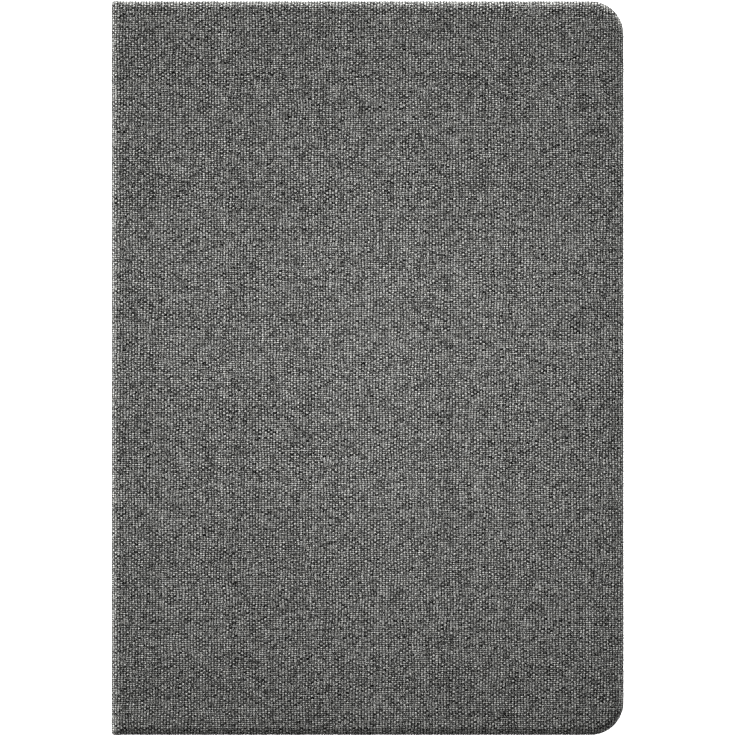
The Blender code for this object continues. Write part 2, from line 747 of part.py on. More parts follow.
def make_cover(spine):
    fold = (X_SPINE + FOLD_INSET, 0.0, CASE_HEIGHT - FOLD_INSET)
    cover = pivot("front_crease_pivot", fold, spine)
    attach(fabric_pan("cover_fabric", CASE_HEIGHT, COVER_RIM_LOW, COVER_EDGE_ROUND), cover)
    outline = cover_outline(COVER_BOARD_INSET)
    attach(plate("cover_board", [outline], COVER_BOARD_LOW, COVER_BOARD_LOW + BOARD), cover)
    make_deck(cover)
    make_keys(cover)
    make_electronics(cover)


clear_scene()
PARTS = new_collection("tablet_keyboard_case")
CUTTERS = new_collection("cutters")
HEATHER = material("heather_fabric", (0.13, 0.13, 0.127), 0.9)
PLASTIC = material("graphite_plastic", (0.06, 0.062, 0.066), 0.5)
KEYCAP = material("keycap_plastic", (0.035, 0.036, 0.038), 0.55)
FELT = material("microfibre_lining", (0.09, 0.09, 0.092), 0.95)
STEEL = material("steel", (0.55, 0.55, 0.56), 0.35, 1.0)
RUBBER = material("silicone_rubber", (0.75, 0.75, 0.73), 0.7)
LAMINATE = material("circuit_laminate", (0.02, 0.12, 0.05), 0.5)
FILM = material("battery_film", (0.5, 0.5, 0.52), 0.35)
LENS = material("lens_plastic", (0.85, 0.9, 0.85), 0.15)
FINISHES = (
    (("fabric", "crease"), HEATHER),
    (("lining",), FELT),
    (("stand_hinge", "key_plate", "magnet", "port"), STEEL),
    (("dome_sheet",), RUBBER),
    (("main_board",), LAMINATE),
    (("battery",), FILM),
    (("status_light",), LENS),
    (("key_frame",), PLASTIC),
    (("key", "_keys"), KEYCAP),
)
make_back()
make_stand()
make_cover(make_spine())
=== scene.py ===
"""A closed tablet keyboard case on a pale floor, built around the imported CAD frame.

Blender works in metres.
"""

import math
from collections import namedtuple

import bmesh
import bpy
from mathutils import Matrix, Vector


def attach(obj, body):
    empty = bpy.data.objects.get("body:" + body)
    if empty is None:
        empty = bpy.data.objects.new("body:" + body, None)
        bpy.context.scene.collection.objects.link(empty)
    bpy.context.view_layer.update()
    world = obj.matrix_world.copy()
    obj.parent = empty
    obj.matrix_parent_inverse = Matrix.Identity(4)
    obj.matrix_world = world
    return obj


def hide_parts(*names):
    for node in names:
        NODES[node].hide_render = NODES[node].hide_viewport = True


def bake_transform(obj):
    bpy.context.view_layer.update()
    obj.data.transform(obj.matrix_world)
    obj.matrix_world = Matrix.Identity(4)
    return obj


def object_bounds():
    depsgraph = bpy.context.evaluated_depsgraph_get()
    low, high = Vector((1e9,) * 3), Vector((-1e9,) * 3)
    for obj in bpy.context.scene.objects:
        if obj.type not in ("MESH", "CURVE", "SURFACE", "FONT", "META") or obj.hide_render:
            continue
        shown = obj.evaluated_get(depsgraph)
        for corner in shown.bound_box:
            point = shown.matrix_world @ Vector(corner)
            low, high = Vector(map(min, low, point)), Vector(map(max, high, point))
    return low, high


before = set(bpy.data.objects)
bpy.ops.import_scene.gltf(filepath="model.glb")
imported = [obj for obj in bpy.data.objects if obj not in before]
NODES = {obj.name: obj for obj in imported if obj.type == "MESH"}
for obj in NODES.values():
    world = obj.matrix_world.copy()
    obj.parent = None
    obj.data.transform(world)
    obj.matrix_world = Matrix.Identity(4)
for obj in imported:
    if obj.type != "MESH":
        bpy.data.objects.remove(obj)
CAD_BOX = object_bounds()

MM = 0.001
COLLECTION = bpy.context.scene.collection

# The closed case: spine at -X, free edge at +X, back at the bottom and keyboard cover on top
(X_SPINE, _, _), (X_FREE, Y_END, TOP) = [[round(c / MM, 3) for c in corner] for corner in CAD_BOX]
CORNER_R = 11.7
CREASE_R = 3.0
CREASE_X = X_SPINE + CREASE_R
SEAM_Z = TOP / 2

# Heights of the faces inside: the tray's underside, bed and rim, and the deck's face, inside and top
TRAY_UNDER, TRAY_BED, TRAY_TOP = 2.7, 3.7, 13.0
DECK_FACE, DECK_INSIDE, DECK_TOP = 13.4, 15.6, 18.6
KEY_FACE = 13.5
CAMERA_X, CAMERA_Y = 77.0, 113.0

# The weave. Warp threads run along Y and weft threads along X
WARP_PITCH, WEFT_PITCH = 1.041, 0.675
WARP_SWAY, WEFT_SWAY = 1.6, 2.0  # how far threads wander, in pitches
WARP_RUN, WEFT_RUN = 3.6, 3.0  # the length over which a thread's shade changes
WARP_DIP, WEFT_DIP = 0.6, 0.35  # how far a thread falls at the ends of each float
WARP_LIGHTER = 0.12
THREAD_MOTTLE, THREAD_SHADE, CLOUD_SHADE, FLOAT_SHADE = 0.32, 0.10, 0.13, 0.2
# The first two numbers below set how strongly the weave's relief is painted into the colour: painted light
# on raised thread tops, painted shade in the dips between threads
PAINTED_RELIEF_GAIN, PAINTED_RELIEF_SPREAD, FIBRE_SHADE = 0.78, 1.1, 2.4


# ---------------------------------------------------------------- camera, lights, floor
def make_camera():
    """A long lens straight above the case."""
    distance = 1.25
    view_width = 0.26015
    offset_x = 0.00018
    data = bpy.data.cameras.new("camera")
    data.sensor_width = 36
    data.lens = data.sensor_width * distance / view_width
    data.clip_start, data.clip_end = 0.01, 20
    camera = bpy.data.objects.new("camera", data)
    camera.location = (offset_x, 0, TOP * MM + distance)
    COLLECTION.objects.link(camera)
    bpy.context.scene.camera = camera


def add_light(name, kind, location, power):
    data = bpy.data.lights.new(name, kind)
    data.energy = power
    light = bpy.data.objects.new(name, data)
    light.location = location
    light.visible_camera = False
    COLLECTION.objects.link(light)
    return light


def make_lights():
    """Low strips of light behind and beside the case, a soft spot from above and a dim sky."""
    strip_height = 0.30
    strips = (
        ("back_light", (0.0, 1.9, 0.26), 1.6, 440),
        ("left_light", (-1.7, 0.0, 0.24), 1.3, 215),
        ("right_light", (1.7, -0.1, 0.24), 1.3, 45),
    )
    for name, location, length, power in strips:
        light = add_light(name, "AREA", location, power)
        light.data.shape = "RECTANGLE"
        light.data.size = length
        light.data.size_y = strip_height
        light.rotation_mode = "QUATERNION"
        light.rotation_quaternion = light.location.to_track_quat("Z", "Y")

    spot = add_light("spot_light", "SPOT", (0, 0, 1.2), 190)
    spot.data.spot_size = math.radians(14)
    spot.data.spot_blend = 1.0
    spot.data.shadow_soft_size = 0.12

    world = bpy.data.worlds.new("world")
    world.use_nodes = True
    background = world.node_tree.nodes["Background"]
    background.inputs["Color"].default_value = (0.93, 0.95, 1, 1)
    background.inputs["Strength"].default_value = 0.08
    bpy.context.scene.world = world
    bpy.context.scene.view_settings.view_transform = "Standard"


def make_floor():
    """A wide pale disc just under the case, bright enough to read as white."""
    gap = 0.05 * MM
    bm = bmesh.new()
    bmesh.ops.create_circle(bm, cap_ends=True, segments=96, radius=4.0)
    mesh = bpy.data.meshes.new("floor")
    bm.to_mesh(mesh)
    bm.free()
    floor = bpy.data.objects.new("floor", mesh)
    floor.location.z = -gap
    COLLECTION.objects.link(floor)
    paint = bpy.data.materials.new("floor_paint")
    paint.use_nodes = True
    shader = paint.node_tree.nodes["Principled BSDF"]
    shader.inputs["Base Color"].default_value = (0.9, 0.9, 0.9, 1)
    shader.inputs["Roughness"].default_value = 0.7
    shader.inputs["Emission Color"].default_value = (1, 1, 1, 1)
    shader.inputs["Emission Strength"].default_value = 0.45
    mesh.materials.append(paint)


# ---------------------------------------------------------------- materials
class Graph:
    """A short way to write shader nodes. A value is a number, a vector or another node's socket."""

    def __init__(self, name):
        self.material = bpy.data.materials.new(name)
        self.material.use_nodes = True
        self.tree = self.material.node_tree
        self.shader = self.tree.nodes["Principled BSDF"]

    def put(self, socket, value):
        if isinstance(value, bpy.types.NodeSocket):
            self.tree.links.new(value, socket)
        elif value is not None:
            socket.default_value = value

    def node(self, kind, output=0, settings=None, **inputs):
        node = self.tree.nodes.new("ShaderNode" + kind)
        for key, value in (settings or {}).items():
            setattr(node, key, value)
        for key, value in inputs.items():
            self.put(node.inputs[key.replace("_", " ")], value)
        return node.outputs[output]

    def math(self, operation, a, b=None):
        node = self.tree.nodes.new("ShaderNodeMath")
        node.operation = operation
        for socket, value in zip(node.inputs, (a, b)):
            self.put(socket, value)
        return node.outputs[0]

    def add(self, a, b):
        return self.math("ADD", a, b)

    def less(self, a, b):
        return self.math("SUBTRACT", a, b)

    def times(self, a, b):
        return self.math("MULTIPLY", a, b)

    def centred(self, value, width):
        """A value from 0 to 1, spread over a width about nought."""
        return self.times(self.less(value, 0.5), width)

    def mix(self, factor, a, b):
        return self.add(a, self.times(factor, self.less(b, a)))

    def between(self, value, low, high, to_low=0.0, to_high=1.0):
        node = self.tree.nodes.new("ShaderNodeMapRange")
        for socket, v in zip(node.inputs, (value, low, high, to_low, to_high)):
            self.put(socket, v)
        return node.outputs[0]

    def vector(self, x, y, z=0.0):
        return self.node("CombineXYZ", X=x, Y=y, Z=z)

    def split(self, vector):
        """The X and Y of a vector."""
        node = self.tree.nodes.new("ShaderNodeSeparateXYZ")
        self.put(node.inputs[0], vector)
        return node.outputs[0], node.outputs[1]

    def noise(self, vector, scale, detail=2.0, rough=0.5, output=0):
        """Cloudy noise: output 0 is one value, and output 1 a colour of three."""
        return self.node("TexNoise", output, Vector=vector, Scale=scale, Detail=detail, Roughness=rough)

    def white(self, x, y):
        """One random value for each pair of numbers."""
        return self.node("TexWhiteNoise", 0, {"noise_dimensions": "2D"}, Vector=self.vector(x, y))

    def ramp(self, factor, *stops):
        """A colour ramp through stops, each (place from 0 to 1, colour)."""
        node = self.tree.nodes.new("ShaderNodeValToRGB")
        self.put(node.inputs[0], factor)
        elements = node.color_ramp.elements
        while len(elements) < len(stops):
            elements.new(0.5)
        for element, (place, colour) in zip(elements, stops):
            element.position = place
            element.color = (*colour, 1)
        return node.outputs[0]

    def tint(self, value, colour):
        """A colour made lighter or darker by a value."""
        node = self.tree.nodes.new("ShaderNodeVectorMath")
        node.operation = "SCALE"
        self.put(node.inputs[0], colour)
        self.put(node.inputs["Scale"], value)
        return node.outputs[0]

    def place(self):
        """Where a point is in its object, in metres."""
        return self.node("TexCoord", 3)

    def set(self, **values):
        for key, value in values.items():
            self.put(self.shader.inputs[key.replace("_", " ")], value)

    def bump(self, height, distance, strength=1.0):
        self.set(Normal=self.node("Bump", Height=height, Distance=distance, Strength=strength))


def heather(name):
    """A plain weave of mottled grey threads, drawn from each point's place along the cloth."""
    g = Graph(name)
    where = g.node("Attribute", 1, {"attribute_name": "thread"})
    x_mm, y_mm = g.split(where)
    sway_x, sway_y = g.split(g.noise(where, 0.09, detail=3.0, rough=0.55, output=1))
    u = g.add(g.math("DIVIDE", x_mm, WARP_PITCH), g.centred(sway_x, WARP_SWAY))
    v = g.add(g.math("DIVIDE", y_mm, WEFT_PITCH), g.centred(sway_y, WEFT_SWAY))
    warp, weft = g.math("FLOOR", u), g.math("FLOOR", v)
    in_warp = g.less(g.math("FRACT", u), 0.5)
    in_weft = g.less(g.math("FRACT", v), 0.5)
    warp_over = g.math("FLOORED_MODULO", g.add(warp, weft), 2.0)

    def hump(across, along, dip):
        """A thread's height: round across it, and lower towards the ends of a float."""
        side = g.math("COSINE", g.times(across, math.pi))
        dive = g.math("COSINE", g.times(along, math.pi))
        return g.times(side, g.add(1 - dip, g.times(dive, dip)))

    def thread(index, along, run, lighter):
        """A thread's shade: slow changes along it, a shade of its own, and its direction's."""
        apart, start_seed, shade_seed = 7.31, 3.7, 11.3
        start = g.white(index, start_seed)
        track = g.vector(g.times(index, apart), g.math("DIVIDE", along, run), start)
        mottle = g.centred(g.noise(track, 1.0, rough=0.6), THREAD_MOTTLE)
        own = g.centred(g.white(index, shade_seed), THREAD_SHADE)
        return g.add(g.add(mottle, own), lighter)

    weft_shade = thread(weft, x_mm, WEFT_RUN, -WARP_LIGHTER)
    warp_shade = thread(warp, y_mm, WARP_RUN, WARP_LIGHTER)
    level = g.mix(warp_over, weft_shade, warp_shade)
    level = g.add(level, g.centred(g.noise(where, 0.16, detail=3.0, rough=0.6), CLOUD_SHADE))
    level = g.add(level, g.centred(g.white(weft, warp), FLOAT_SHADE))

    height = g.mix(warp_over, hump(in_weft, in_warp, WEFT_DIP), hump(in_warp, in_weft, WARP_DIP))
    # The threads' height is also painted into the colour, with a random strength for each crossing:
    # painted light on the raised tops and painted shade in the dips between threads
    mean_height = 0.38
    raised = g.less(g.between(height, 0.1, 0.9), mean_height)
    painted_relief_strength = g.add(1.0, g.centred(g.white(warp, weft), PAINTED_RELIEF_SPREAD))
    painted_relief_shading = g.times(raised, g.times(painted_relief_strength, PAINTED_RELIEF_GAIN))
    fibre = g.noise(where, 2.8, detail=1.0, rough=0.7)
    shade = g.add(g.add(level, painted_relief_shading), g.centred(fibre, FIBRE_SHADE))

    # The shade becomes brightness on a curve that holds back the lightest threads
    base_shade, darkest, lightest = 0.19, 0.01, 1.5
    lit = g.math("MINIMUM", g.math("MAXIMUM", g.add(shade, base_shade), darkest), lightest)
    lit = g.times(lit, g.less(1.3, g.times(lit, 0.45)))
    brightness = g.times(g.math("POWER", lit, 2.7), 0.255)
    hue = g.noise(where, 0.35, detail=1.0)
    stops = (0.32, (0.995, 1.0, 0.972)), (0.5, (1.0, 1.002, 0.962)), (0.72, (1.006, 1.0, 0.95))
    g.set(Base_Color=g.tint(brightness, g.ramp(hue, *stops)))
    g.set(Roughness=g.between(fibre, 0.3, 0.7, 0.82, 0.98))
    g.shader.inputs["Specular IOR Level"].default_value = 0.0
    g.bump(g.add(height, g.times(fibre, 0.35)), 0.00018)
    return g.material


def microfibre():
    """A short brushed nap with faint clouds in it."""
    g = Graph("microfibre_lining")
    place = g.place()
    nap = g.noise(place, 900.0, detail=3.0, rough=0.75)
    cloud = g.noise(place, 45.0, detail=3.0, rough=0.6)
    level = g.times(g.between(nap, 0.3, 0.7, 0.55, 1.45), g.between(cloud, 0.3, 0.7, 0.85, 1.15))
    g.set(Base_Color=g.tint(level, (0.021, 0.0215, 0.023)))
    g.set(Roughness=g.between(nap, 0.3, 0.7, 0.85, 1.0))
    g.shader.inputs["Sheen Weight"].default_value = 0.35
    g.shader.inputs["Sheen Roughness"].default_value = 0.35
    g.bump(nap, 0.0002, 0.6)
    return g.material


def plastic(name, colour, rough, grain, depth=0.00005):
    """Moulded plastic with a fine spark-eroded texture and a little handling wear."""
    g = Graph(name)
    place = g.place()
    fine = g.noise(place, grain, rough=0.6)
    cloud = g.noise(place, 38.0, detail=4.0, rough=0.6)
    level = g.times(g.between(cloud, 0.3, 0.7, 0.88, 1.12), g.between(fine, 0.3, 0.7, 0.9, 1.1))
    g.set(Base_Color=g.tint(level, colour))
    worn = g.between(cloud, 0.3, 0.7, rough - 0.05, rough + 0.05)
    g.set(Roughness=g.add(worn, g.between(fine, 0.3, 0.7, -0.05, 0.05)))
    g.shader.inputs["Specular IOR Level"].default_value = 0.06
    g.bump(fine, depth, 0.5)
    return g.material


def metal(name, colour, rough):
    """Metal with fine brush lines along Y."""
    g = Graph(name)
    stretched = g.node("VectorMath", 0, {"operation": "MULTIPLY"})
    g.put(stretched.node.inputs[0], g.place())
    stretched.node.inputs[1].default_value = (1.0, 0.04, 1.0)
    lines = g.noise(stretched, 2400.0, detail=3.0, rough=0.7)
    cloud = g.noise(g.place(), 60.0, detail=3.0, rough=0.6)
    g.set(Base_Color=g.tint(g.between(lines, 0.3, 0.7, 0.8, 1.1), colour))
    brushed = g.between(lines, 0.3, 0.7, rough - 0.1, rough + 0.1)
    g.set(Roughness=g.add(brushed, g.between(cloud, 0.3, 0.7, -0.05, 0.05)))
    g.shader.inputs["Metallic"].default_value = 1.0
    g.bump(lines, 0.00002, 0.5)
    return g.material


HEATHER = heather("heather_fabric")
MICROFIBRE = microfibre()
GRAPHITE = plastic("graphite_plastic", (0.018, 0.0187, 0.0202), 0.62, 2600.0)
DECK = plastic("deck_plastic", (0.026, 0.027, 0.0295), 0.6, 2200.0, 0.00006)
KEYCAP = plastic("keycap_plastic", (0.009, 0.0093, 0.0103), 0.6, 3400.0, 0.00004)
LEGEND = plastic("legend_paint", (0.34, 0.345, 0.35), 0.6, 3000.0, 0.00001)
TRACKPAD = plastic("trackpad_plastic", (0.018, 0.0186, 0.0204), 0.5, 5200.0, 0.00002)
RUBBER = plastic("black_rubber", (0.02, 0.02, 0.021), 0.8, 1500.0, 0.00004)
DOMES = plastic("silicone_sheet", (0.55, 0.55, 0.53), 0.6, 900.0)
LAMINATE = plastic("circuit_laminate", (0.012, 0.09, 0.035), 0.42, 700.0)
FOIL = plastic("battery_film", (0.3, 0.3, 0.32), 0.32, 500.0)
BOARD = plastic("grey_board", (0.10, 0.098, 0.092), 0.85, 1200.0)
LENS = plastic("lens_plastic", (0.7, 0.78, 0.7), 0.2, 800.0, 0.00001)
STEEL = metal("steel", (0.5, 0.5, 0.51), 0.34)


def finish_cad_nodes():
    """Give each CAD node its material by the first word that its name holds, or else graphite."""
    finishes = (
        (("lining", "stand_plate"), MICROFIBRE),
        (("keyboard_deck",), DECK),
        (("stand_hinge", "key_plate", "magnet", "port"), STEEL),
        (("dome_sheet",), DOMES),
        (("main_board",), LAMINATE),
        (("battery",), FOIL),
        (("status_light",), LENS),
        (("board", "spine"), BOARD),
        (("fabric", "crease"), HEATHER),
    )
    for name, node in NODES.items():
        finish = next((m for words, m in finishes if any(w in name for w in words)), GRAPHITE)
        node.data.materials.clear()
        node.data.materials.append(finish)


# ---------------------------------------------------------------- outlines and numbers
def spread(low, high, count):
    """Evenly spaced numbers from low to high, with count gaps."""
    return [low + (high - low) * k / count for k in range(count + 1)]


def lerp(a, b, t):
    return a + (b - a) * t


def ease(t):
    """0 to 1 with a gentle start and end."""
    return t * t * (3 - 2 * t)


def circle(x, y, radius, count):
    turns = [2 * math.pi * k / count for k in range(count)]
    return [(x + radius * math.cos(t), y + radius * math.sin(t)) for t in turns]


def outline(x0, x1, y0, y1, r_low, r_high, steps=5):
    """Points round a rectangle with one corner radius at each X end, always as many."""
    points = []
    corners = (x1, y1, r_high, 0), (x0, y1, r_low, 90), (x0, y0, r_low, 180), (x1, y0, r_high, 270)
    for x, y, r, start in corners:
        cx = x - math.copysign(r, x - (x0 + x1) / 2)
        cy = y - math.copysign(r, y - (y0 + y1) / 2)
        for k in range(steps + 1):
            turn = math.radians(start + 90 * k / steps)
            points.append((cx + r * math.cos(turn), cy + r * math.sin(turn)))
    return points


def eased(points, radius=1.2, steps=4):
    """An outline with each of its square corners rounded. Points on straight sides stay."""
    made = []
    count = len(points)
    for k in range(count):
        here = Vector(points[k])
        a = (Vector(points[k - 1]) - here).normalized()
        b = (Vector(points[(k + 1) % count]) - here).normalized()
        if abs(a.dot(b)) > 0.99:
            made.append(tuple(here))
            continue
        for n in range(steps + 1):
            turn = math.pi / 2 * n / steps
            made.append(tuple(here + radius * (a * (1 - math.sin(turn)) + b * (1 - math.cos(turn)))))
    return made


def fillet(r, z, dz, steps=4):
    """(inset, z) down a rounded edge, from the face at height z to the side."""
    made = []
    for k in range(steps + 1):
        turn = math.pi / 2 * k / steps
        made.append((r * (1 - math.sin(turn)), z + dz * r * (1 - math.cos(turn))))
    return made


# ---------------------------------------------------------------- meshes
def finish_mesh(bm, name, *materials, smooth=30):
    mesh = bpy.data.meshes.new(name)
    bm.to_mesh(mesh)
    bm.free()
    obj = bpy.data.objects.new(name, mesh)
    COLLECTION.objects.link(obj)
    for material in materials:
        mesh.materials.append(material)
    mesh.shade_smooth()
    mesh.set_sharp_from_angle(angle=math.radians(smooth))
    return obj


def evaluated_mesh(obj):
    bpy.context.view_layer.update()
    graph = bpy.context.evaluated_depsgraph_get()
    return bpy.data.meshes.new_from_object(obj.evaluated_get(graph))


def apply_modifiers(obj):
    mesh = evaluated_mesh(obj)
    old = obj.data
    obj.modifiers.clear()
    obj.data = mesh
    bpy.data.meshes.remove(old)


class Cloth:
    """A sheet built from rows of points, with every point's place along the cloth kept."""

    def __init__(self):
        self.bm = bmesh.new()
        self.layer = self.bm.verts.layers.float_vector.new("thread")

    def vert(self, point, thread):
        vert = self.bm.verts.new([c * MM for c in point])
        vert[self.layer] = (thread[0], thread[1], 0.0)
        return vert

    def face(self, *verts):
        distinct = list(dict.fromkeys(verts))
        if len(distinct) > 2:
            self.bm.faces.new(distinct)

    def strips(self, rows, closed=False):
        for a, b in zip(rows, rows[1:]):
            count = len(a)
            for k in range(count if closed else count - 1):
                n = (k + 1) % count
                self.face(a[k], a[n], b[n], b[k])

    def fill(self, *loops):
        edges = []
        for loop in loops:
            for k in range(len(loop)):
                pair = (loop[k - 1], loop[k])
                edges.append(self.bm.edges.get(pair) or self.bm.edges.new(pair))
        bmesh.ops.triangle_fill(self.bm, use_beauty=True, use_dissolve=False, edges=edges)


class Solid(Cloth):
    """A closed form built from rounded rectangles at different heights."""

    def ring(self, box, r, inset, z, r_high):
        x0, x1, y0, y1 = box
        radii = max(r - inset, 0.02), max(r_high - inset, 0.02)
        points = outline(x0 + inset, x1 - inset, y0 + inset, y1 - inset, *radii)
        # The cloth goes on down the side, so its threads are counted as far out as the side is deep
        grown = outline(x0 + inset - z, x1 - inset + z, y0 + inset - z, y1 - inset + z, *radii)
        return [self.vert((x, y, z), thread) for (x, y), thread in zip(points, grown)]

    def rings(self, box, r, levels, r_high=None):
        """A wall through levels of (inset, z). r_high is the radius of the corners at the high X."""
        rows = [self.ring(box, r, inset, z, r_high or r) for inset, z in levels]
        self.strips(rows, closed=True)
        return rows

    def done(self, name, *materials):
        bmesh.ops.remove_doubles(self.bm, verts=self.bm.verts, dist=1e-7)
        bmesh.ops.recalc_face_normals(self.bm, faces=self.bm.faces)
        return finish_mesh(self.bm, name, *materials, smooth=35)


def soft_box(name, low, high, radius, material, segments=3):
    """A box with rounded edges, between two corners."""
    low, high = Vector(low) * MM, Vector(high) * MM
    size = Matrix.Diagonal((*(high - low), 1))
    bm = bmesh.new()
    bmesh.ops.create_cube(bm, size=1.0, matrix=Matrix.Translation((low + high) / 2) @ size)
    bmesh.ops.bevel(
        bm, geom=bm.edges[:], offset=radius * MM, segments=segments, profile=0.5, affect="EDGES",
        clamp_overlap=True,
    )
    return finish_mesh(bm, name, material, smooth=40)


def slot_tool(low, high, radius):
    return soft_box("tool", low, high, radius, None)


def drill_tool(x, y, z, radius, segments):
    """A short upright cylinder, centred on a point."""
    bm = bmesh.new()
    bmesh.ops.create_cone(
        bm, cap_ends=True, segments=segments, radius1=radius * MM, radius2=radius * MM, depth=6 * MM,
        matrix=Matrix.Translation(Vector((x, y, z)) * MM),
    )
    return finish_mesh(bm, "tool")


def cut(obj, *tools):
    for tool in tools:
        modifier = obj.modifiers.new("cut", "BOOLEAN")
        modifier.operation = "DIFFERENCE"
        modifier.solver = "EXACT"
        modifier.object = tool
    apply_modifiers(obj)
    for tool in tools:
        mesh = tool.data
        bpy.data.objects.remove(tool)
        bpy.data.meshes.remove(mesh)
    obj.data.shade_smooth()
    obj.data.set_sharp_from_angle(angle=math.radians(35))


def revolve(name, x, y, profile, material, segments=72):
    """A closed ring about a vertical axis, from (radius, z) points."""
    bm = bmesh.new()
    rings = []
    for r, z in profile:
        rings.append([bm.verts.new(Vector((*point, z)) * MM) for point in circle(x, y, r, segments)])
    for ring, below in zip(rings, rings[1:] + rings[:1]):
        for k in range(segments):
            n = (k + 1) % segments
            bm.faces.new((ring[k], ring[n], below[n], below[k]))
    bmesh.ops.recalc_face_normals(bm, faces=bm.faces)
    return finish_mesh(bm, name, material, smooth=50)


def fixed(obj, body, slot, *replaced):
    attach(obj, body)
    if replaced:
        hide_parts(*replaced)


# ---------------------------------------------------------------- the covers' cloth
EDGE_ROW = 0.6  # the width of the row of faces beside a wrapped edge
SPINE_EDGE = 0.8  # the radius of the wrapped edge at the spine's ends
CREASE_EDGE = 1.7  # how deep the wrapped edge is where the crease ends
WINDOW_EDGE = 0.7  # the radius of the wrapped edge round a window
SPINE_WRAP, WINDOW_WRAP = 2.1, 1.9  # how far down those edges go
CREASE_WRAP = 1.6, 1.9  # the same where the crease starts and where it ends
SETTLE = 1.5  # the flat strip beside the crease where the wrapped edge reaches its own size
HEM = (0.225, 0.25, 0.35), (0.75, 0.275, 0.9)  # the tucked hem: (in, down, along the cloth)

# A place on the cloth's section across the spine: x, z, distance along the cloth, the direction
# into its thickness, and the wrapped edge there
Station = namedtuple("Station", "x z u inward reach depth width")


def hem_profile(reach, depth, width, steps=7):
    """Points of an edge that is wrapped over a board: (out, down, distance along the cloth)."""
    points = []
    length = 0.0
    last = (0.0, 0.0)
    for k in range(1, steps + 1):
        turn = math.pi / 2 * k / steps
        point = (reach * math.sin(turn), depth * (1 - math.cos(turn)))
        length += math.dist(point, last)
        points.append((*point, length))
        last = point
    length += width - depth
    points.append((reach, width, length))
    points += [(reach - inset, width + down, length + along) for inset, down, along in HEM]
    return points


def wrap(cloth, rail, closed):
    """Take the cloth round an edge. rail is its start: (vert, out, inward, reach, depth, width)."""
    columns = []
    for vert, out, inward, *edge in rail:
        column = [vert]
        x, y, z = Vector(vert.co) / MM
        thread = vert[cloth.layer]
        for o, d, s in hem_profile(*edge):
            point = (x + out[0] * o + inward[0] * d, y + out[1] * o, z + inward[1] * d)
            column.append(cloth.vert(point, (thread[0] + out[0] * s, thread[1] + out[1] * s)))
        columns.append(column)
    cloth.strips(list(zip(*columns)), closed)


def bend_stations(up, edge, width, face_z):
    """The section from the seam on the spine, round the crease, to where the flat field starts."""
    centre_z = face_z - up * CREASE_R
    crease_start = CREASE_X - CREASE_R * math.pi / 2
    spine_length = abs(centre_z - SEAM_Z)
    stations = []
    for t in spread(0, 1, 3):
        z, u = lerp(SEAM_Z, centre_z, t), crease_start - spine_length * (1 - t)
        stations.append(Station(X_SPINE, z, u, (1.0, 0.0), SPINE_EDGE, SPINE_EDGE, SPINE_WRAP))
    for t in spread(0, 1, 10)[1:]:
        turn = math.pi / 2 * (1 - t)
        sine, cosine = math.sin(turn), math.cos(turn) * up
        stations.append(Station(
            CREASE_X - CREASE_R * sine, centre_z + CREASE_R * cosine, CREASE_X - CREASE_R * turn,
            (sine, -cosine), lerp(SPINE_EDGE, edge, ease(t)), lerp(SPINE_EDGE, CREASE_EDGE, ease(t)),
            lerp(*CREASE_WRAP, ease(t)),
        ))
    for t in spread(0, 1, 3)[1:]:
        x = CREASE_X + SETTLE * t
        depth, wide = lerp(CREASE_EDGE, edge, ease(t)), lerp(CREASE_WRAP[1], width, ease(t))
        stations.append(Station(x, face_z, x, (0.0, -up), edge, depth, wide))
    return stations


def free_path(start, edge):
    """Points (x, y, out) round the cover, from start at +Y round the free edge to -Y."""
    corner = CORNER_R - edge
    x_corner, y_corner = X_FREE - CORNER_R, Y_END - CORNER_R
    side = [(x, Y_END - edge, (0, 1)) for x in spread(start, x_corner, 24)[1:]]
    for turn in spread(math.pi / 2, 0, 12)[1:]:
        out = (math.cos(turn), math.sin(turn))
        side.append((x_corner + corner * out[0], y_corner + corner * out[1], out))
    free_edge = [(X_FREE - edge, y, (1, 0)) for y in spread(y_corner, -y_corner, 30)[1:-1]]
    mirrored = [(x, -y, (out[0], -out[1])) for x, y, out in reversed(side)]
    return side + free_edge + mirrored


def window_rail(cloth, points, face_z, inward):
    """The cloth's edge round a window that is listed counterclockwise: (its outer loop, its rail)."""
    outer_loop, rail = [], []
    count = len(points)
    row = 0.4
    for k in range(count):
        x, y = points[k]
        tangent = (Vector(points[(k + 1) % count]) - Vector(points[k - 1])).normalized()
        out = (-tangent.y, tangent.x)
        start = (x - out[0] * WINDOW_EDGE, y - out[1] * WINDOW_EDGE, face_z)
        rail.append((cloth.vert(start, (x, y)), out, inward, WINDOW_EDGE, WINDOW_EDGE, WINDOW_WRAP))
        beside = (start[0] - out[0] * row, start[1] - out[1] * row, face_z)
        outer_loop.append(cloth.vert(beside, (x - out[0] * row, y - out[1] * row)))
    cloth.strips([outer_loop, [corner[0] for corner in rail]], closed=True)
    return outer_loop, rail


